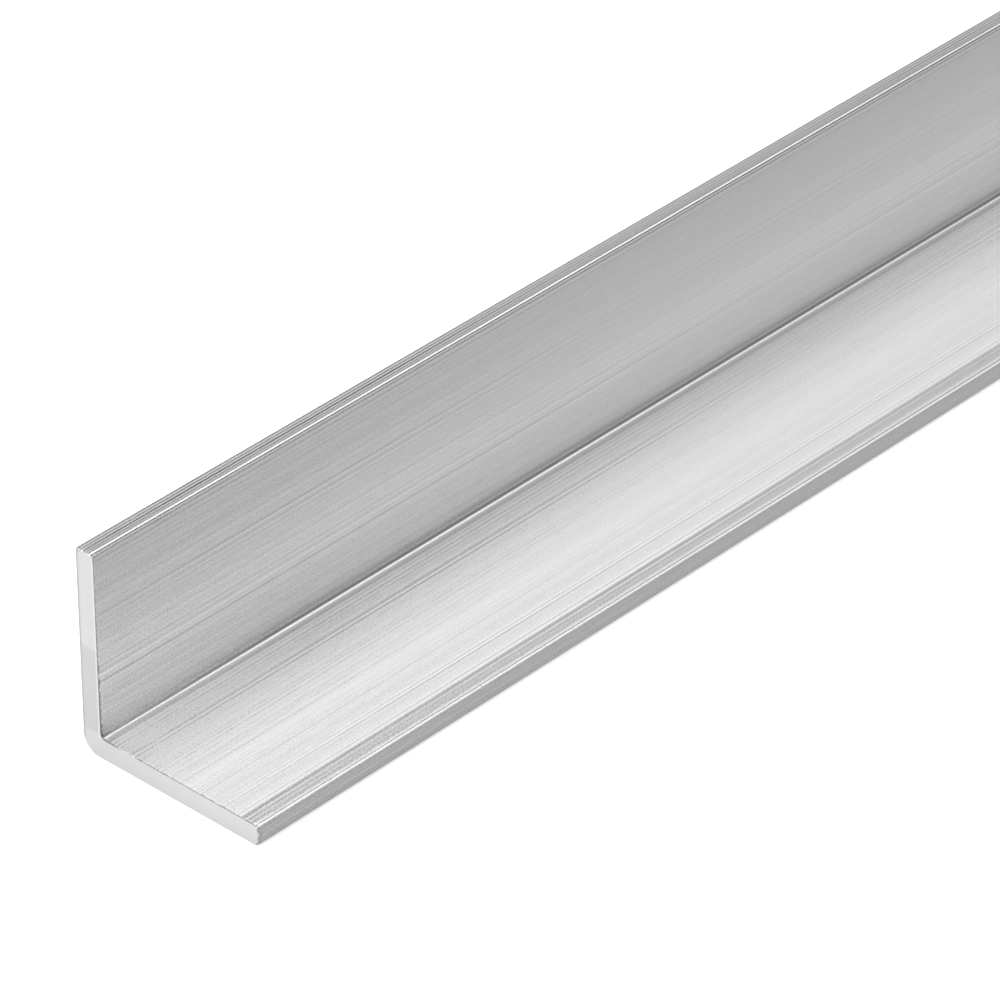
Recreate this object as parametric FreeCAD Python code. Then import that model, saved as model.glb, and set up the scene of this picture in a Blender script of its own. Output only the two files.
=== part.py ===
import FreeCAD, Part
import math
import os

# A length of extruded aluminium equal angle, as cut from the mill bar.
# One leg lies flat on the floor and the other stands up along its back edge.
# +X runs along the bar, +Z is up, and the open side of the angle faces -Y.
# The origin is on the floor, under the middle of the bar's bounding box.

# Driving dimensions, in millimetres.
stock_length = 1000.0  # cut length of the bar
flat_leg_width = 30.0  # outside width of the leg that lies on the floor
upright_leg_height = 30.0  # outside height of the standing leg
wall_thickness = 3.0  # both legs, measured between their flat faces
heel_radius = 2.6  # rounding outside the corner, where the legs meet
root_radius = 0.8  # fillet inside the corner
toe_radius = 0.7  # rounding of the long edges at the tip of each leg
top_back_radius = 0.3  # the upright leg's tip is crisper on its back edge
crisp_edge_left = 0.05  # rounding that stays at that back edge where the sawn end is filed

# Sizes and places that follow from the driving dimensions.
edge_break = top_back_radius - crisp_edge_left  # burr filed off all round each sawn end
bar_end = stock_length / 2.0
heel_y = flat_leg_width / 2.0
toe_y = -flat_leg_width / 2.0
upright_face_y = heel_y - wall_thickness

# A rounding can't be larger than half of the wall that it is cut from.
largest_toe_share = 0.45
toe_rounding = min(toe_radius, largest_toe_share * wall_thickness)


def section_corners():
    """The section's sharp corners as (y, z, rounding), in order round it from the heel."""
    return [
        (heel_y, 0.0, heel_radius),
        (toe_y, 0.0, toe_rounding),
        (toe_y, wall_thickness, toe_rounding),
        (upright_face_y, wall_thickness, root_radius),
        (upright_face_y, upright_leg_height, toe_rounding),
        (heel_y, upright_leg_height, top_back_radius),
    ]


def corner_arc(before, corner, after, radius):
    """Start, middle and end of the arc that rounds a square corner between its two neighbours."""
    towards_before = (before - corner).normalize()
    towards_after = (after - corner).normalize()
    start = corner + towards_before * radius
    end = corner + towards_after * radius
    diagonal = (towards_before + towards_after).normalize()
    middle = corner + diagonal * radius * (math.sqrt(2.0) - 1.0)
    return start, middle, end


def section_face(x):
    """The whole section as a flat face, square to the bar at x."""
    corners = section_corners()
    points = [FreeCAD.Vector(x, y, z) for y, z, rounding in corners]
    arcs = []
    for i, (y, z, rounding) in enumerate(corners):
        following = points[(i + 1) % len(points)]
        arcs.append(corner_arc(points[i - 1], points[i], following, rounding))
    edges = []
    for i, (start, middle, end) in enumerate(arcs):
        edges.append(Part.Arc(start, middle, end).toShape())
        next_start = arcs[(i + 1) % len(arcs)][0]
        edges.append(Part.LineSegment(end, next_start).toShape())
    return Part.Face(Part.Wire(edges))


def end_edges(bar):
    """The edges that lie in the two sawn ends."""
    return [e for e in bar.Edges if e.BoundBox.XLength < edge_break / 2.0]


def angle_section():
    """The bar: its section drawn out over the cut length, with both ends deburred."""
    bar = section_face(-bar_end).extrude(FreeCAD.Vector(stock_length, 0.0, 0.0))
    return bar.makeChamfer(edge_break, end_edges(bar))


def main():
    os.makedirs("parts", exist_ok=True)
    bar = angle_section()
    bar.exportStep("parts/angle_section.step")
    print("angle_section valid", bar.isValid(), "solids", len(bar.Solids))
    print("volume mm3", round(bar.Volume, 1), "box", bar.BoundBox)


main()
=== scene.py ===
import math
from functools import partial

import bpy
from mathutils import Matrix, Vector


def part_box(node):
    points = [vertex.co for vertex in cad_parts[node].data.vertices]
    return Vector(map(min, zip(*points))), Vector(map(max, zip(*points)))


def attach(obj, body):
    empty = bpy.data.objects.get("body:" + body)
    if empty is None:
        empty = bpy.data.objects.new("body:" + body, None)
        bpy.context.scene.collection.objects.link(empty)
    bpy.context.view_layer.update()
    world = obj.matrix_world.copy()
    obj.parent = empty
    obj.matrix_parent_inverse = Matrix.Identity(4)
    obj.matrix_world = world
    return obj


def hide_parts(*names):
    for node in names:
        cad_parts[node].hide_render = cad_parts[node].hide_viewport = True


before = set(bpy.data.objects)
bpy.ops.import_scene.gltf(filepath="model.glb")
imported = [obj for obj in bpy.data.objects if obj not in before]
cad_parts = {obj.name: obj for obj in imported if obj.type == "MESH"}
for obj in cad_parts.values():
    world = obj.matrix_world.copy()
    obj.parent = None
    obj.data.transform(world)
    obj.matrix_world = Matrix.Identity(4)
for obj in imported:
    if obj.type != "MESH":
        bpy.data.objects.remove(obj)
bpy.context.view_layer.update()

# A metre of extruded aluminium angle, dressed over its CAD solid.
# Metres throughout: +X runs along the bar, +Z is up, and the angle's open side faces -Y.

barLow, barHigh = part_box("angle_section")
mm = 0.001
wallThickness = 3.0 * mm
maths = "ShaderNodeMath"
print("stage: frame loaded, bar", [round(v, 4) for v in barHigh - barLow])


def linear(hexColour):
    # an sRGB hex value as linear RGBA
    def channel(pair):
        value = int(pair, 16) / 255
        return value / 12.92 if value <= 0.04045 else ((value + 0.055) / 1.055) ** 2.4
    digits = hexColour.lstrip("#")
    return [channel(digits[i:i + 2]) for i in (0, 2, 4)] + [1.0]


def feed(tree, socket, value):
    # gives a socket a plain value, or a link from another node or one of its outputs
    if isinstance(value, bpy.types.Node):
        value = next(s for s in value.outputs if s.enabled)
    if isinstance(value, bpy.types.NodeSocket):
        tree.links.new(value, socket)
    else:
        socket.default_value = value


def addNode(tree, kind, inputs=(), **settings):
    # adds a node with its settings; inputs is a dict by name, or a tuple in the node's order
    node = tree.nodes.new(kind)
    for name, value in settings.items():
        setattr(node, name, value)
    for key, value in inputs.items() if isinstance(inputs, dict) else enumerate(inputs):
        named = [s for s in node.inputs if s.enabled and s.name == key]
        feed(tree, named[0] if named else node.inputs[key], value)
    return node


def newMaterial(name):
    material = bpy.data.materials.new(name)
    material.use_nodes = True
    material.node_tree.nodes.clear()
    return material, partial(addNode, material.node_tree)


# The skin of the bar, as the material paints it; how it changes round the section is in
# dieSkin, further down.
millFinish = {
    "colour": "#f0f0f1",          # clean skin, a thin clear oxide over bare metal
    "anisotropy": 0.30,           # die lines scatter light across the bar
    "patterns": {                 # width and length in mm, how far they lighten and darken the skin, relief in mm
        "broadLines": (1.30, 600.0, 0.15, 0.0050),
        "dieLines": (0.42, 420.0, 0.17, 0.0040),
        "hairLines": (0.14, 180.0, 0.24, 0.0016),
        "pickUpStreaks": (0.20, 3.5, 0.18, 0.0020),
        "grain": (0.15, 0.30, 0.55, 0.0016),   # coarser than life, so that it shows
    },
    "firstSeed": 11.0,            # of the patterns, and how far apart their seeds are
    "seedStep": 12,
    "nickWaxMm": (9.0, 70.0),     # the nick lines wax and wane in patches this wide and long
    "nickWaxGain": 2.5,
    "nickWaxSeed": 97.0,
    "settledMm": (20.0, 100.0),   # between these distances from an end all the marks weaken,
    "settledStrength": (1.35, 0.52),      # from the first strength to the second
    "paintedEndLightMm": (0.2, 2.0, 4.0, 32.0),   # from an end: the painted end light starts, is full, wanes, is gone
    # a grey burr, darkened further by painted shade
    "burrAndShadeColour": "#8c8c8e",
    "burrAndShadeMm": 1.10,               # how far the widest burr and its painted shade reach from a sawn end
    "burrAndShadeCover": 2.0,             # 2 hides the skin over the nearer half of that reach
    "rubbedColour": "#b4b4b5",    # and the tips of the legs were rubbed bright at the end
    "rubbedMm": 0.45,
}


def drawnOut(add, place, widthMm, lengthMm, seed):
    # noise drawn out along the bar, about zero
    scaled = add("ShaderNodeMapping", {
        "Vector": place, "Scale": (1 / widthMm, 1 / lengthMm, 1), "Location": (seed, seed, 0)})
    noise = add("ShaderNodeTexNoise", {
        "Vector": scaled, "Scale": 1.0, "Detail": 1.0, "Roughness": 0.55}, noise_dimensions="2D")
    return add(maths, (noise, 0.5), operation="SUBTRACT")


def dieMarks(add, place, skin, spec):
    # what the lines, streaks and nicks change in the skin's shade, the nicks' part being painted light
    # and shade, and the relief they give
    marks, height = 0.0, 0.0
    for i, (width, length, spread, relief) in enumerate(spec["patterns"].values()):
        pattern = drawnOut(add, place, width, length, spec["firstSeed"] + spec["seedStep"] * i)
        marks = add(maths, (pattern, spread, marks), operation="MULTIPLY_ADD")
        height = add(maths, (pattern, relief, height), operation="MULTIPLY_ADD")
    wax = drawnOut(add, place, *spec["nickWaxMm"], spec["nickWaxSeed"])
    waxed = add(maths, (wax, spec["nickWaxGain"], 1.0), operation="MULTIPLY_ADD")
    nicks = add(maths, (waxed, skin["nickLines"]), operation="MULTIPLY")
    marks = add(maths, (marks, skin["lineStrength"], nicks), operation="MULTIPLY_ADD")
    return marks, height


def shadeByEnd(add, marks, toEnd, skin, spec):
    # the skin's shade, with its painted highlights and shade: by an end its marks are stronger, and
    # painted light and shade lie on the inside corner there
    near, far = spec["settledMm"]
    strong, faint = spec["settledStrength"]
    settled = add("ShaderNodeMapRange", {
        "Value": toEnd, "From Min": near, "From Max": far, "To Min": strong, "To Max": faint})
    marks = add(maths, (marks, settled), operation="MULTIPLY")
    shade = add(maths, (skin["brightness"], marks, skin["brightness"]), operation="MULTIPLY_ADD")

    starts, full, wanes, gone = spec["paintedEndLightMm"]
    begun = add("ShaderNodeMapRange", {"Value": toEnd, "From Min": starts, "From Max": full})
    left = add("ShaderNodeMapRange", {"Value": toEnd, "From Min": gone, "From Max": wanes})
    share = add(maths, (left, begun), operation="MULTIPLY")
    change = add(maths, (skin["handled"], 1.0), operation="SUBTRACT")
    handled = add(maths, (change, share), operation="MULTIPLY")
    return add(maths, (shade, handled, shade), operation="MULTIPLY_ADD")


def shadedBurrColour(add, clean, toEnd, skin, spec):
    # beside a sawn end the skin is under a grey burr with painted shade along it, and right at the end
    # it is rubbed
    reach = add(maths, (skin["sawBurr"], spec["burrAndShadeMm"]), operation="MULTIPLY")
    burrAndShade = add("ShaderNodeMapRange", {
        "Value": toEnd, "From Min": reach, "From Max": 0.0, "To Max": spec["burrAndShadeCover"]})
    burredAndShaded = add("ShaderNodeMix", {
        "Factor": add("ShaderNodeClamp", {"Value": burrAndShade}), "A": clean, "B": linear(spec["burrAndShadeColour"]),
    }, data_type="RGBA")
    squared = add(maths, (skin["sawBurr"], 2.0), operation="POWER")
    rubbedTo = add(maths, (squared, spec["rubbedMm"]), operation="MULTIPLY")
    rubbed = add("ShaderNodeMapRange", {"Value": toEnd, "From Min": rubbedTo, "From Max": 0.0})
    return add("ShaderNodeMix", {
        "Factor": rubbed, "A": burredAndShaded, "B": linear(spec["rubbedColour"])}, data_type="RGBA")


def makeMillFinish(spec):
    # Mill-finish aluminium, as the die leaves it: a satin metal with lines drawn along the bar, so
    # reflections smear across the lines and stay sharper along them. Its colour also carries painted
    # highlights and painted shade, read from the skin's attributes.
    material, add = newMaterial("millFinishAluminium")
    skin = {name: add("ShaderNodeAttribute", attribute_name=name).outputs["Fac"]
            for name in ("fromRoot", "brightness", "roughness", "nickLines", "lineStrength",
                         "handled", "sawBurr")}
    along = add("ShaderNodeSeparateXYZ", (add("ShaderNodeTexCoord").outputs["Object"],)).outputs["X"]
    alongMm = add(maths, (along, 1 / mm), operation="MULTIPLY")
    fromMiddle = add(maths, (alongMm,), operation="ABSOLUTE")
    toEnd = add(maths, (barHigh.x / mm, fromMiddle), operation="SUBTRACT")
    place = add("ShaderNodeCombineXYZ", {"X": skin["fromRoot"], "Y": alongMm})

    marks, height = dieMarks(add, place, skin, spec)
    shade = shadeByEnd(add, marks, toEnd, skin, spec)
    clean = add("ShaderNodeVectorMath", {0: linear(spec["colour"])[:3], "Scale": shade},
                operation="SCALE")
    colour = shadedBurrColour(add, clean, toEnd, skin, spec)
    bump = add("ShaderNodeBump", {"Height": height, "Strength": 1.0, "Distance": mm})
    tangent = add("ShaderNodeTangent", direction_type="UV_MAP", uv_map="OFBake")
    shader = add("ShaderNodeBsdfPrincipled", {
        "Base Color": colour, "Metallic": 1.0, "Roughness": skin["roughness"],
        "Anisotropic": spec["anisotropy"], "Tangent": tangent, "Normal": bump,
    })
    add("ShaderNodeOutputMaterial", {"Surface": shader})
    return material


sawnEnd = {
    "colour": "#bdbdbe",
    "shadedColour": "#b4b4b5",  # painted shade over the lower half of the upright leg
    "shadedMiddleMm": 9.7,      # above the floor, with the reach of the shaded part either way
    "shadedReachMm": 6.2,
    "shadedFadeMm": 0.2,
    "edgeColour": "#c8c8c9",  # a thin lighter rim up the inner edge
    "edgeMm": 0.36,
    "backShadeColour": "#a2a2a3",  # and painted shade up the outer edge, where it rounds off, wider at its top corner
    "backMm": 0.42,
    "backCornerMm": 1.30,
    "rimSolid": 0.6,          # the share of a rim that is solid, before it fades out
    "roughness": 0.45,
    "bandMm": 2.4,            # saw feed marks across the section
    "bandSpread": 0.05,
    "grainMm": 0.25,
    "bumpMm": 0.001,
}


def cutColour(add, height, spec):
    # an even grey, with painted shade over part of it and the bands where the blade paused
    middle = barLow.z + spec["shadedMiddleMm"] * mm
    reach, fade = spec["shadedReachMm"] * mm, spec["shadedFadeMm"] * mm
    aside = add(maths, (add(maths, (height, middle), operation="SUBTRACT"),), operation="ABSOLUTE")
    shaded = add("ShaderNodeMapRange", {
        "Value": aside, "From Min": reach + fade, "From Max": reach - fade})
    cut = add("ShaderNodeMix", {
        "Factor": shaded, "A": linear(spec["colour"]), "B": linear(spec["shadedColour"])}, data_type="RGBA")
    band = add("ShaderNodeTexNoise", {"W": height, "Scale": 1 / (spec["bandMm"] * mm), "Detail": 2.0},
               noise_dimensions="1D")
    spread = spec["bandSpread"]
    banded = add(maths, (band, spread, 1 - spread / 2), operation="MULTIPLY_ADD")
    return add("ShaderNodeVectorMath", {0: cut, "Scale": banded}, operation="SCALE")


def rimColour(add, colour, across, height, spec):
    # the two rims up the edges of the upright leg: a thin lighter one up the inner edge, and painted
    # shade up the outer edge
    fromInside = add(maths, (across, barHigh.y - wallThickness), operation="SUBTRACT")
    inner = add("ShaderNodeMapRange", {
        "Value": fromInside, "From Min": spec["edgeMm"] * mm,
        "From Max": spec["edgeMm"] * mm * spec["rimSolid"]})
    above = add(maths, (height, barLow.z + wallThickness), operation="GREATER_THAN")
    rimmed = add("ShaderNodeMix", {
        "Factor": add(maths, (inner, above), operation="MULTIPLY"),
        "A": colour, "B": linear(spec["edgeColour"])}, data_type="RGBA")

    toBack = add(maths, (barHigh.y, across), operation="SUBTRACT")
    toTop = add(maths, (barHigh.z, height), operation="SUBTRACT")
    toCorner = add(maths, (toBack, toTop), operation="ADD")
    nearCorner = add(maths, (toCorner, spec["backMm"] / spec["backCornerMm"]), operation="MULTIPLY")
    outer = add("ShaderNodeMapRange", {
        "Value": add(maths, (toBack, nearCorner), operation="MINIMUM"),
        "From Min": spec["backMm"] * mm, "From Max": spec["backMm"] * mm * spec["rimSolid"]})
    return add("ShaderNodeMix", {
        "Factor": outer, "A": rimmed, "B": linear(spec["backShadeColour"])}, data_type="RGBA")


def makeSawnEnd(spec):
    # Aluminium cut with a fine saw: a flat, even grey face with faint bands where the blade paused,
    # painted shade over the lower half of the upright leg, a thin lighter rim up its inner edge, and
    # painted shade up its outer edge.
    material, add = newMaterial("sawnAluminium")
    place = add("ShaderNodeTexCoord").outputs["Object"]
    parts = add("ShaderNodeSeparateXYZ", (place,)).outputs
    cut = cutColour(add, parts["Z"], spec)
    withRims = rimColour(add, cut, parts["Y"], parts["Z"], spec)
    grain = add("ShaderNodeTexNoise", {"Vector": place, "Scale": 1 / (spec["grainMm"] * mm)})
    bump = add("ShaderNodeBump", {"Height": grain, "Strength": 1.0, "Distance": spec["bumpMm"] * mm})
    shader = add("ShaderNodeBsdfPrincipled", {
        "Base Color": withRims, "Metallic": 1.0, "Roughness": spec["roughness"], "Normal": bump,
    })
    add("ShaderNodeOutputMaterial", {"Surface": shader})
    return material


millMaterial = makeMillFinish(millFinish)
sawnMaterial = makeSawnEnd(sawnEnd)
print("stage: materials made")


# The bar itself: sizes that the tree takes as named inputs.
angleBar = {
    "Length": barHigh.x - barLow.x,
    "Flat leg": barHigh.y - barLow.y,
    "Upright leg": barHigh.z - barLow.z,
    "Wall": wallThickness,
    "Heel radius": 2.6 * mm,
    "Root radius": 0.8 * mm,
    "Toe radius": 0.7 * mm,
    "Top back radius": 0.3 * mm,
    "Edge break": 0.08 * mm,       # how far the sawn edges are rubbed off
    "Corner wear": 0.30 * mm,      # and how much further round the tips of the legs
    "Section step": 0.08 * mm,
    "Rings": 49,
    "Ripple depth": 0.020 * mm,    # broad waves across the faces
    "Line depth": 0.004 * mm,
    "Nick depth": 0.035 * mm,      # of a nick whose painted light and shade change by its whole
    "Seed": 7.0,
}

# What the die leaves on each leg, by millimetres from the inside corner out to the toe and round it to
# the far side, with painted light in the first list of each leg: painted highlights along the roundings
# of the inside corner, the toe and the top, painted shade beside them and in the inside corner, and
# painted shade deepening up the upright leg and on the toe's side. Between two places a value changes
# evenly.
dieSkin = {
    "flatLeg": {
        "brightness": [
            (0.0, 0.18), (0.07, 0.34), (0.14, 0.50), (0.28, 0.77), (0.45, 0.85), (0.83, 0.80),
            (1.05, 0.74), (1.25, 0.78), (1.6, 0.95), (4.0, 1.00), (6.5, 1.06), (14.0, 1.05),
            (21.0, 0.96), (23.6, 1.00), (23.9, 0.84), (25.3, 0.76), (25.7, 0.88), (26.07, 1.02),
            (26.21, 0.95), (26.28, 0.16), (26.37, 0.20), (26.46, 0.66), (26.53, 1.10), (26.63, 1.12),
            (26.74, 0.76), (26.9, 0.50), (27.2, 0.36), (28.9, 0.37), (29.3, 0.42), (29.8, 0.62),
        ],
        "roughness": [
            (0.4, 0.35), (0.9, 0.45), (23.3, 0.45), (23.8, 0.38), (25.9, 0.38), (26.3, 0.38),
            (26.6, 0.38), (27.0, 0.48), (30.0, 0.45),
        ],
        "lineStrength": [
            (0.5, 0.7), (1.5, 1.3), (9.0, 1.2), (14.0, 0.7), (23.4, 0.7), (23.8, 1.3), (26.0, 1.3),
            (27.5, 0.9),
        ],
        "handled": [               # painted light on the inside corner close to a sawn end, and painted shade beside the fillet's highlight, against the rest of the bar
            (0.0, 1.0), (0.1, 1.10), (0.23, 1.10), (0.36, 0.66), (0.52, 0.82), (0.7, 0.96),
            (0.95, 1.10), (1.2, 1.24), (3.0, 1.22), (5.0, 1.12), (12.0, 1.0),
        ],
        "burrAndShade": [                  # how far the saw's burr and its painted shade reach, against the widest
            (0.2, 0.50), (1.2, 0.34), (3.0, 0.16), (3.6, 0.0), (5.6, 0.0), (6.4, 0.22),
            (26.0, 0.22), (26.5, 0.0), (27.3, 0.3), (27.6, 1.0), (29.8, 1.0), (30.4, 0.0),
        ],
        "nicks": [                 # (place, half width, change of the painted light and shade)
            (1.61, 0.30, 0.11), (2.31, 0.30, 0.13), (3.00, 0.30, 0.08), (4.68, 0.50, 0.09),
            (5.25, 0.26, -0.15), (5.58, 0.30, 0.21), (6.63, 0.28, 0.05), (10.05, 0.38, 0.045),
            (10.90, 0.32, 0.045), (11.70, 0.32, 0.04), (13.43, 0.45, 0.03), (16.83, 0.35, 0.06),
            (20.18, 0.26, 0.13), (20.73, 0.26, 0.19), (23.08, 0.26, 0.15), (23.83, 0.50, 0.13),
            (24.36, 0.22, -0.10), (24.74, 0.28, 0.16), (25.43, 0.40, 0.07),
        ],
    },
    "uprightLeg": {
        "brightness": [
            (0.12, 0.34), (0.22, 0.66), (0.33, 0.78), (0.45, 0.74), (0.63, 0.60), (0.83, 0.69),
            (1.03, 0.77), (1.63, 0.80), (3.0, 0.82), (5.0, 0.77), (10.5, 0.74), (13.5, 0.65),
            (15.5, 0.60), (25.8, 0.43), (26.35, 0.47), (26.6, 0.60), (26.72, 0.88), (26.78, 0.40),
            (26.83, 0.04), (26.92, 0.04), (26.97, 0.40), (27.03, 0.94), (27.15, 0.96), (27.25, 0.60),
            (27.36, 0.42), (27.6, 0.52), (28.4, 0.58), (29.2, 0.58), (29.4, 0.48), (31.0, 0.58),
        ],
        "roughness": [
            (0.3, 0.34), (1.0, 0.45), (26.3, 0.45), (27.05, 0.40), (27.3, 0.40), (27.6, 0.45),
        ],
        "lineStrength": [(0.8, 1.4), (2.0, 0.85), (26.0, 0.85), (27.5, 1.0)],
        "handled": [
            (0.0, 1.8), (0.1, 1.75), (0.23, 1.26), (0.36, 1.0), (0.52, 1.06), (0.7, 1.28),
            (0.95, 1.22), (1.2, 1.03), (1.6, 1.0),
        ],
        "burrAndShade": [
            (0.6, 0.52), (8.0, 0.42), (14.0, 0.28), (26.0, 0.24), (26.4, 0.0), (29.2, 0.0),
            (29.6, 0.6), (30.6, 0.6), (31.4, 0.3), (54.0, 0.3), (56.0, 0.0),
        ],
        "nicks": [
            (5.08, 0.45, 0.03), (7.85, 0.38, 0.13), (9.28, 0.40, 0.11), (10.23, 0.35, 0.05),
            (12.40, 0.40, 0.07), (13.75, 0.40, 0.06), (16.65, 0.30, 0.08), (17.68, 0.35, 0.09),
            (19.78, 0.45, 0.03), (24.23, 0.45, 0.04), (25.63, 0.26, 0.16), (27.68, 0.25, 0.35),
            (28.09, 0.25, 0.70), (28.57, 0.25, 0.35), (29.07, 0.25, 0.45),
        ],
    },
}

# How the sawn edges are knocked, and how ragged their burr and its painted shade are, on both legs
# alike.
sawnEdges = {
    "cornerWear": [                # (place, share of the corner wear)
        (0.0, 0.25), (25.8, 0.25), (26.7, 1.0), (28.7, 1.0), (29.3, 1.3), (29.8, 0.4), (30.4, 0.0),
    ],
    "leastWear": 0.65,             # of the whole, where an edge was knocked least
    "knockedWear": 0.5,            # and what the hardest knocks add to it
    "raggedNoise": (0.35, 0.65),   # as the noise goes between these, the burr's reach goes
    "raggedReach": (0.40, 1.0),    # between these shares of the whole
}

# How many waves of each uneven thing lie in a millimetre round the section.
wavesPerMm = {"ripples": 0.4, "lines": 2.6, "knocks": 1.1, "burrAndShade": 0.9}


def byPlace(add, awayMm, stops):
    # a value that follows a list of (place, value)
    reach = 62.0      # mm, a little past the farthest place round the section
    ramp = add("ShaderNodeValToRGB", {"Fac": add(maths, (awayMm, reach), operation="DIVIDE")})
    for where, value in stops:
        element = ramp.color_ramp.elements.new(where / reach)
        element.color = (value, value, value, 1)
    ramp.color_ramp.elements.remove(ramp.color_ramp.elements[0])
    ramp.color_ramp.elements.remove(ramp.color_ramp.elements[-1])
    return ramp


def roundedSection(tree, add, given):
    # six sharp corners, clockwise from the heel, each with its own radius
    heel = add(maths, (given["Flat leg"], 0.5), operation="MULTIPLY")
    toe = add(maths, (given["Flat leg"], -0.5), operation="MULTIPLY")
    inside = add(maths, (heel, given["Wall"]), operation="SUBTRACT")
    wall, top, toeRadius = given["Wall"], given["Upright leg"], given["Toe radius"]
    across = (heel, toe, toe, inside, inside, heel)
    up = (0.0, 0.0, wall, wall, top, top)
    radii = (given["Heel radius"], toeRadius, toeRadius, given["Root radius"], toeRadius,
             given["Top back radius"])
    picks = []
    for values in (across, up, radii):
        pick = add("GeometryNodeIndexSwitch", {"Index": add("GeometryNodeInputIndex")},
                   data_type="FLOAT")
        while len(pick.index_switch_items) < len(values):
            pick.index_switch_items.new()
        for i, value in enumerate(values):
            feed(tree, pick.inputs[i + 1], value)
        picks.append(pick)
    placed = add("GeometryNodeSetPosition", {
        "Geometry": add("GeometryNodeMeshLine", {"Count": len(radii)}),
        "Position": add("ShaderNodeCombineXYZ", {"X": picks[0], "Y": picks[1]}),
    })
    loop = add("GeometryNodeSetSplineCyclic", {
        "Geometry": add("GeometryNodeMeshToCurve", {"Mesh": placed}), "Cyclic": True})
    stepsRound = 20   # of each rounding
    rounded = add("GeometryNodeFilletCurve", {
        "Curve": loop, "Count": stepsRound, "Radius": picks[2], "Limit Radius": True}, mode="POLY")
    return add("GeometryNodeResampleCurve", {
        "Curve": rounded, "Length": given["Section step"]}, mode="LENGTH")


def namedPlaces(add, given, section):
    # every point knows how far round it is from the root, in millimetres, and which way is in
    half = add(maths, (add("GeometryNodeSplineLength").outputs["Length"], 0.5), operation="MULTIPLY")
    crisper = add(maths, (given["Toe radius"], given["Top back radius"]), operation="SUBTRACT")
    half = add(maths, (crisper, math.pi / 4 - 1, half), operation="MULTIPLY_ADD")
    rootAt = add(maths, (given["Heel radius"], math.pi / 4, half), operation="MULTIPLY_ADD")
    walked = add("GeometryNodeSplineParameter").outputs["Length"]
    away = add(maths, (walked, rootAt), operation="SUBTRACT")
    section = add("GeometryNodeStoreNamedAttribute", {
        "Geometry": section, "Name": "fromRoot",
        "Value": add(maths, (away, mm), operation="DIVIDE"),
    }, data_type="FLOAT", domain="POINT")
    return add("GeometryNodeStoreNamedAttribute", {
        "Geometry": section, "Name": "inward", "Value": add("GeometryNodeInputNormal"),
    }, data_type="FLOAT_VECTOR", domain="POINT")


def byLeg(add, fromRoot, legs, name):
    # one of the lists in dieSkin, read on the leg that each point lies on
    away = add(maths, (fromRoot,), operation="ABSOLUTE")
    return add("GeometryNodeSwitch", {
        "Switch": add(maths, (fromRoot, 0.0), operation="GREATER_THAN"),
        "False": byPlace(add, away, legs["flatLeg"][name]),
        "True": byPlace(add, away, legs["uprightLeg"][name]),
    }, input_type="FLOAT")


def uneven(add, given, fromRoot, name, detail):
    # noise from 0 to 1 that changes round the section
    spot = add(maths, (fromRoot, given["Seed"]), operation="ADD")
    return add("ShaderNodeTexNoise", {
        "W": spot, "Scale": wavesPerMm[name], "Detail": detail}, noise_dimensions="1D")


def allNicks(add, fromRoot, legs):
    # a nick is a hollow, with painted light on its side by the corner and painted shade on the other
    toUnitPeak = 2.6  # a light and dark pair by itself peaks at 0.385
    lines, hollows = 0.0, 0.0
    for leg, side in (("flatLeg", -1.0), ("uprightLeg", 1.0)):
        away = add(maths, (fromRoot, side), operation="MULTIPLY")
        for place, halfWidth, change in legs[leg]["nicks"]:
            across = add("ShaderNodeMapRange", {
                "Value": away, "From Min": place - halfWidth, "From Max": place + halfWidth,
                "To Min": -1.0, "To Max": 1.0})
            squared = add(maths, (across, across), operation="MULTIPLY")
            bowl = add(maths, (1.0, squared), operation="SUBTRACT")
            pair = add(maths, (across, bowl), operation="MULTIPLY")
            lines = add(maths, (pair, -toUnitPeak * change, lines), operation="MULTIPLY_ADD")
            hollow = add(maths, (bowl, bowl), operation="MULTIPLY")
            hollows = add(maths, (hollow, change, hollows), operation="MULTIPLY_ADD")
    return lines, hollows


def nickedSkin(add, given, section, fromRoot, legs):
    # stores the skin's values by place, painted light and shade among them, and cuts the nicks, ripples
    # and lines into it
    nickLines, nickDepth = allNicks(add, fromRoot, legs)
    values = {name: byLeg(add, fromRoot, legs, name)
              for name in ("brightness", "roughness", "lineStrength", "handled")}
    values["nickLines"] = nickLines
    for name, value in values.items():
        section = add("GeometryNodeStoreNamedAttribute", {
            "Geometry": section, "Name": name, "Value": value}, data_type="FLOAT", domain="POINT")

    ripple = uneven(add, given, fromRoot, "ripples", 1.0)
    lines = uneven(add, given, fromRoot, "lines", 2.0)
    depth = add(maths, (lines, given["Line depth"]), operation="MULTIPLY")
    depth = add(maths, (ripple, given["Ripple depth"], depth), operation="MULTIPLY_ADD")
    depth = add(maths, (nickDepth, given["Nick depth"], depth), operation="MULTIPLY_ADD")
    inward = add("GeometryNodeInputNamedAttribute", {"Name": "inward"}, data_type="FLOAT_VECTOR")
    return add("GeometryNodeSetPosition", {
        "Geometry": section,
        "Offset": add("ShaderNodeVectorMath", {0: inward, "Scale": depth}, operation="SCALE"),
    })


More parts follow.
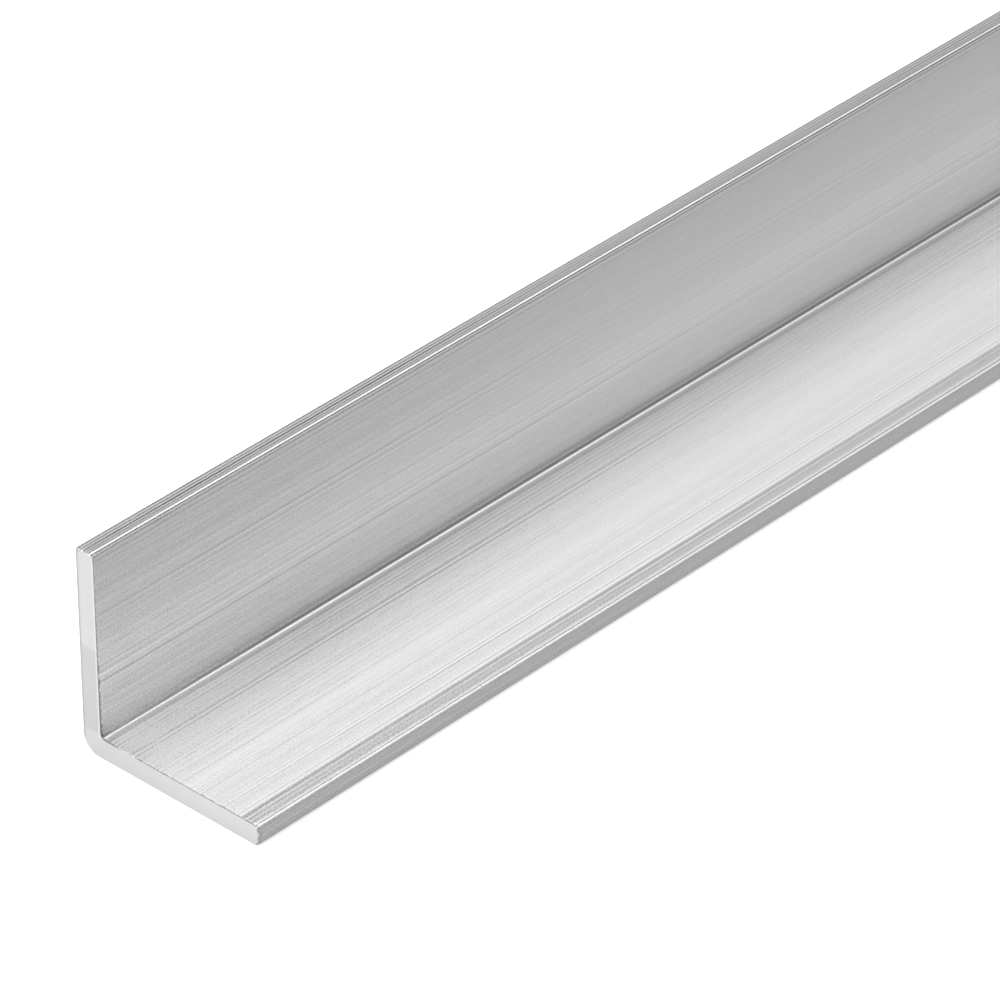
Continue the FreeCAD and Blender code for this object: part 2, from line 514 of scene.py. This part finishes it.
def sweptBar(add, given, section, halfLength):
    # rings crowd towards the sawn ends, where the edges are rubbed off
    crowding = 4.0    # 1 spaces them evenly
    path = add("GeometryNodeResampleCurve", {
        "Curve": add("GeometryNodeCurvePrimitiveLine", {"End": (1, 0, 0)}),
        "Count": given["Rings"]}, mode="COUNT")
    factor = add("GeometryNodeSplineParameter").outputs["Factor"]
    along = add(maths, (factor, 2.0, -1.0), operation="MULTIPLY_ADD")
    fromEnd = add(maths, (1.0, add(maths, (along,), operation="ABSOLUTE")), operation="SUBTRACT")
    gap = add(maths, (fromEnd, crowding), operation="POWER")
    crowded = add(maths, (1.0, gap), operation="SUBTRACT")
    signed = add(maths, (crowded, add(maths, (along,), operation="SIGN")), operation="MULTIPLY")
    ringX = add(maths, (signed, halfLength), operation="MULTIPLY")
    spread = add("GeometryNodeSetPosition", {
        "Geometry": path, "Position": add("ShaderNodeCombineXYZ", {"X": ringX})})
    turned = add("GeometryNodeSetCurveNormal", {"Curve": spread, "Normal": (0, 1, 0)}, mode="FREE")
    return add("GeometryNodeCurveToMesh", {
        "Curve": turned, "Profile Curve": section, "Fill Caps": True})


def brokenEdges(add, given, bar, place, halfLength, fromRoot, edges):
    # the skin turns in at each sawn edge, by more where it was knocked and at the corners
    fromMiddle = add(maths, (place.outputs["X"],), operation="ABSOLUTE")
    toEnd = add(maths, (halfLength, fromMiddle), operation="SUBTRACT")
    away = add(maths, (fromRoot,), operation="ABSOLUTE")
    atCorner = byPlace(add, away, edges["cornerWear"])
    worn = add(maths, (atCorner, given["Corner wear"], given["Edge break"]), operation="MULTIPLY_ADD")
    knocks = uneven(add, given, fromRoot, "knocks", 3.0)
    knocked = add(maths, (knocks, edges["knockedWear"], edges["leastWear"]), operation="MULTIPLY_ADD")
    reach = add(maths, (worn, knocked), operation="MULTIPLY")
    share = add("ShaderNodeMapRange", {"Value": toEnd, "From Min": reach, "From Max": 0.0})
    rest = add(maths, (1.0, add(maths, (share, share), operation="MULTIPLY")), operation="SUBTRACT")
    drop = add(maths, (1.0, add(maths, (rest,), operation="SQRT")), operation="SUBTRACT")
    turnIn = add(maths, (reach, drop), operation="MULTIPLY")
    inward = add("GeometryNodeInputNamedAttribute", {"Name": "inward"}, data_type="FLOAT_VECTOR")
    flat = add("ShaderNodeSeparateXYZ", (inward,))
    inwards = add("ShaderNodeCombineXYZ", {"Y": flat.outputs["X"], "Z": flat.outputs["Y"]})
    return add("GeometryNodeSetPosition", {
        "Geometry": bar,
        "Offset": add("ShaderNodeVectorMath", {0: inwards, "Scale": turnIn}, operation="SCALE"),
    })


def burredAndShadedEdges(add, given, bar, fromRoot, legs, edges):
    # how far the ragged burr of the saw and its painted shade reach along the skin
    (low, high), (least, whole) = edges["raggedNoise"], edges["raggedReach"]
    ragged = add("ShaderNodeMapRange", {
        "Value": uneven(add, given, fromRoot, "burrAndShade", 4.0),
        "From Min": low, "From Max": high, "To Min": least, "To Max": whole})
    burrAndShade = add(maths, (byLeg(add, fromRoot, legs, "burrAndShade"), ragged), operation="MULTIPLY")
    return add("GeometryNodeStoreNamedAttribute", {
        "Geometry": bar, "Name": "sawBurr", "Value": burrAndShade}, data_type="FLOAT", domain="POINT")


# Where the skin and the sawn ends lie on the UV map, which is 1 wide and 1 high.
uvMap = {
    "roundMm": 117.51,         # the way round the section
    "loopStartMm": -60.0,      # points beyond this are at the start of the loop, and a face of
    "closingMeanMm": -30.0,    # theirs whose middle lies above this closes it
    "skinWidth": 0.84,
    "rootU": 0.435,            # the inside corner
    "endWidth": 0.13,          # the sawn ends stand one above the other, beside the skin
    "endU": 0.925,
    "endHeight": 0.4,
    "nearEndV": 0.05,
    "farEndUp": 0.5,
}


def unwrappedBar(add, given, bar, place, fromRoot, isCap, uvs):
    # the UV map: U goes round the section and V along the bar, and the sawn ends get the
    # strip beside it; the faces that close the loop at the heel read U past its end
    faceMean = add("GeometryNodeFieldOnDomain", (fromRoot,), domain="FACE", data_type="FLOAT")
    closing = add(maths, (
        add(maths, (fromRoot, uvs["loopStartMm"]), operation="LESS_THAN"),
        add(maths, (faceMean, uvs["closingMeanMm"]), operation="GREATER_THAN"),
    ), operation="MULTIPLY")
    wound = add(maths, (closing, uvs["roundMm"], fromRoot), operation="MULTIPLY_ADD")
    perMm = uvs["skinWidth"] / uvs["roundMm"]
    lengthways = add(maths, (place.outputs["X"], given["Length"]), operation="DIVIDE")
    skinUv = add("ShaderNodeCombineXYZ", {
        "X": add(maths, (wound, perMm, uvs["rootU"]), operation="MULTIPLY_ADD"),
        "Y": add(maths, (lengthways, 0.5), operation="ADD"),
    })

    across = add(maths, (place.outputs["Y"], given["Flat leg"]), operation="DIVIDE")
    up = add(maths, (place.outputs["Z"], given["Upright leg"]), operation="DIVIDE")
    isFar = add(maths, (place.outputs["X"], 0.0), operation="GREATER_THAN")
    endV = add(maths, (isFar, uvs["farEndUp"], uvs["nearEndV"]), operation="MULTIPLY_ADD")
    endUv = add("ShaderNodeCombineXYZ", {
        "X": add(maths, (across, uvs["endWidth"], uvs["endU"]), operation="MULTIPLY_ADD"),
        "Y": add(maths, (up, uvs["endHeight"], endV), operation="MULTIPLY_ADD"),
    })
    uv = add("GeometryNodeSwitch", {
        "Switch": isCap, "False": skinUv, "True": endUv}, input_type="VECTOR")
    return add("GeometryNodeStoreNamedAttribute", {
        "Geometry": bar, "Name": "OFBake", "Value": uv}, data_type="FLOAT2", domain="CORNER")


def sawnFaces(add):
    # the faces that look along the bar, which are the two sawn ends
    squareOn = 0.9
    facing = add("ShaderNodeSeparateXYZ", (add("GeometryNodeInputNormal"),)).outputs["X"]
    here = add("FunctionNodeCompare", (add(maths, (facing,), operation="ABSOLUTE"), squareOn),
               data_type="FLOAT", operation="GREATER_THAN")
    return add("GeometryNodeFieldOnDomain", (here,), domain="FACE", data_type="BOOLEAN")


def makeAngleTree(spec, legs, edges, uvs):
    # The outline of the section is rounded and nicked, then drawn out along the bar.
    tree = bpy.data.node_groups.new("extrudedAngle", "GeometryNodeTree")
    add = partial(addNode, tree)
    tree.interface.new_socket("Geometry", in_out="OUTPUT", socket_type="NodeSocketGeometry")
    for name in spec:
        kind = "NodeSocketInt" if name == "Rings" else "NodeSocketFloat"
        tree.interface.new_socket(name, in_out="INPUT", socket_type=kind)
    for name in ("Mill finish", "Sawn end"):
        tree.interface.new_socket(name, in_out="INPUT", socket_type="NodeSocketMaterial")
    given = add("NodeGroupInput").outputs
    halfLength = add(maths, (given["Length"], 0.5), operation="MULTIPLY")
    fromRoot = add("GeometryNodeInputNamedAttribute", {"Name": "fromRoot"}, data_type="FLOAT")
    place = add("ShaderNodeSeparateXYZ", (add("GeometryNodeInputPosition"),))

    section = namedPlaces(add, given, roundedSection(tree, add, given))
    section = nickedSkin(add, given, section, fromRoot, legs)
    bar = sweptBar(add, given, section, halfLength)
    bar = brokenEdges(add, given, bar, place, halfLength, fromRoot, edges)
    bar = burredAndShadedEdges(add, given, bar, fromRoot, legs, edges)
    isCap = sawnFaces(add)
    bar = unwrappedBar(add, given, bar, place, fromRoot, isCap, uvs)
    bar = add("GeometryNodeRemoveAttribute", {"Geometry": bar, "Name": "inward"})
    bar = add("GeometryNodeSetShadeSmooth", {
        "Geometry": bar, "Shade Smooth": add("FunctionNodeBooleanMath", (isCap,), operation="NOT")})
    bar = add("GeometryNodeRealizeInstances", {"Geometry": bar})
    bar = add("GeometryNodeSetMaterial", {"Geometry": bar, "Material": given["Mill finish"]})
    bar = add("GeometryNodeSetMaterial", {
        "Geometry": bar, "Selection": isCap, "Material": given["Sawn end"]})
    add("NodeGroupOutput", (bar,))
    return tree


def makeBar(spec, legs, edges, uvs):
    # the tree's result as a plain mesh, with the modifier gone
    bar = bpy.data.objects.new("angleBar", bpy.data.meshes.new("angleBar"))
    bpy.context.collection.objects.link(bar)
    modifier = bar.modifiers.new("extrudedAngle", "NODES")
    modifier.node_group = makeAngleTree(spec, legs, edges, uvs)
    values = {**spec, "Mill finish": millMaterial, "Sawn end": sawnMaterial}
    for item in modifier.node_group.interface.items_tree:
        if item.in_out == "INPUT":
            modifier[item.identifier] = values[item.name]
    evaluated = bar.evaluated_get(bpy.context.evaluated_depsgraph_get())
    bar.data = bpy.data.meshes.new_from_object(evaluated)
    bar.modifiers.clear()
    return bar


bar = makeBar(angleBar, dieSkin, sawnEdges, uvMap)
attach(bar, "root")
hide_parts("angle_section")
bar.data.calc_loop_triangles()
finishes = [material.name for material in bar.data.materials]
print("stage: bar made,", len(bar.data.loop_triangles), "triangles,", finishes)


studio = {
    "floorHalfSize": 30.0,
    "floorDrop": 0.02 * mm,     # so that it doesn't lie in the bar's underside
    "floorColour": "#f6f6f6",
    "floorGlow": 0.40,          # a little of its own white, for what looks straight at it
    "skyTop": 0.96,
    "skyHorizon": 0.32,
    "lamps": {                  # azimuth is degrees from +X towards +Y
        "overheadSoftbox": {"azimuth": 10, "elevation": 79, "distance": 2.6, "side": 2.3, "watts": 33},
        "endSoftbox": {"azimuth": 165, "elevation": 29, "distance": 3.0, "side": 2.6, "watts": 54.5},
    },
}


def makeFloor(spec):
    # White paper sweep: matt, and just white to the camera and in reflections.
    material, add = newMaterial("whitePaper")
    path = add("ShaderNodeLightPath").outputs
    mirrored = add(maths, (path["Is Glossy Ray"], path["Is Transmission Ray"]), operation="MAXIMUM")
    seen = add(maths, (path["Is Camera Ray"], mirrored), operation="MAXIMUM")
    paper = add("ShaderNodeBsdfDiffuse", {"Color": linear(spec["floorColour"])})
    glow = add("ShaderNodeEmission", {
        "Strength": add(maths, (seen, spec["floorGlow"]), operation="MULTIPLY")})
    add("ShaderNodeOutputMaterial", {"Surface": add("ShaderNodeAddShader", (paper, glow))})
    half = spec["floorHalfSize"]
    corners = [(-half, -half, 0), (half, -half, 0), (half, half, 0), (-half, half, 0)]
    mesh = bpy.data.meshes.new("floor")
    mesh.from_pydata(corners, [], [(0, 1, 2, 3)])
    mesh.materials.append(material)
    floor = bpy.data.objects.new("floor", mesh)
    floor.location.z = -spec["floorDrop"]
    bpy.context.collection.objects.link(floor)


def makeWorld(spec):
    # a plain surround, dim at the horizon and brighter overhead
    world = bpy.data.worlds.new("softStudio")
    bpy.context.scene.world = world
    world.use_nodes = True
    world.node_tree.nodes.clear()
    add = partial(addNode, world.node_tree)
    height = add("ShaderNodeSeparateXYZ", (add("ShaderNodeTexCoord").outputs["Generated"],)).outputs["Z"]
    strength = add("ShaderNodeMapRange", {
        "Value": height, "From Min": 0.0, "From Max": 1.0,
        "To Min": spec["skyHorizon"], "To Max": spec["skyTop"],
    })
    add("ShaderNodeOutputWorld", {"Surface": add("ShaderNodeBackground", {"Strength": strength})})


def makeLamps(spec):
    for name, lamp in spec["lamps"].items():
        azimuth, elevation = math.radians(lamp["azimuth"]), math.radians(lamp["elevation"])
        towards = Vector((math.cos(elevation) * math.cos(azimuth),
                          math.cos(elevation) * math.sin(azimuth), math.sin(elevation)))
        light = bpy.data.lights.new(name, "AREA")
        light.shape = "SQUARE"
        light.size = lamp["side"]
        light.energy = lamp["watts"]
        box = bpy.data.objects.new(name, light)
        box.location = towards * lamp["distance"]
        box.rotation_euler = towards.to_track_quat("Z", "Y").to_euler()
        box.visible_camera = False
        bpy.context.collection.objects.link(box)


photoCamera = {
    "lensMm": 262.3,
    "sensorMm": 36.0,
    "azimuth": -46.89,       # degrees round the bar, 0 looking along +Y
    "elevation": 33.95,
    "roll": -0.36,
    "framePixels": 1000,     # the picture is this wide and high
    "cornerPixel": (84.28, 748.61),   # where the near heel corner lies in it, from the top left
    "cornerDepth": 0.894,    # its distance from the camera's plane
    "clip": (0.05, 100),
}


def makeCamera(spec):
    a, e, r = (math.radians(spec[k]) for k in ("azimuth", "elevation", "roll"))
    back = Vector((math.sin(a) * math.cos(e), -math.cos(a) * math.cos(e), math.sin(e)))
    right = Vector((math.cos(a), math.sin(a), 0))
    up = back.cross(right)
    rolledRight = right * math.cos(r) + up * math.sin(r)
    rolledUp = -right * math.sin(r) + up * math.cos(r)
    perPixel = spec["cornerDepth"] * spec["sensorMm"] / spec["lensMm"] / spec["framePixels"]
    aside, below = ((pixel - spec["framePixels"] / 2) * perPixel for pixel in spec["cornerPixel"])
    corner = Vector((barLow.x, barHigh.y, barLow.z))
    camera = bpy.data.objects.new("photoCamera", bpy.data.cameras.new("photoCamera"))
    camera.data.lens = spec["lensMm"]
    camera.data.sensor_width = spec["sensorMm"]
    camera.data.clip_start, camera.data.clip_end = spec["clip"]
    camera.rotation_mode = "QUATERNION"
    camera.rotation_quaternion = Matrix((rolledRight, rolledUp, back)).transposed().to_quaternion()
    camera.location = corner + back * spec["cornerDepth"] - rolledRight * aside + rolledUp * below
    bpy.context.collection.objects.link(camera)
    bpy.context.scene.camera = camera


makeFloor(studio)
makeWorld(studio)
makeLamps(studio)
makeCamera(photoCamera)
bpy.context.scene.view_settings.view_transform = "Standard"
print("stage: studio made")
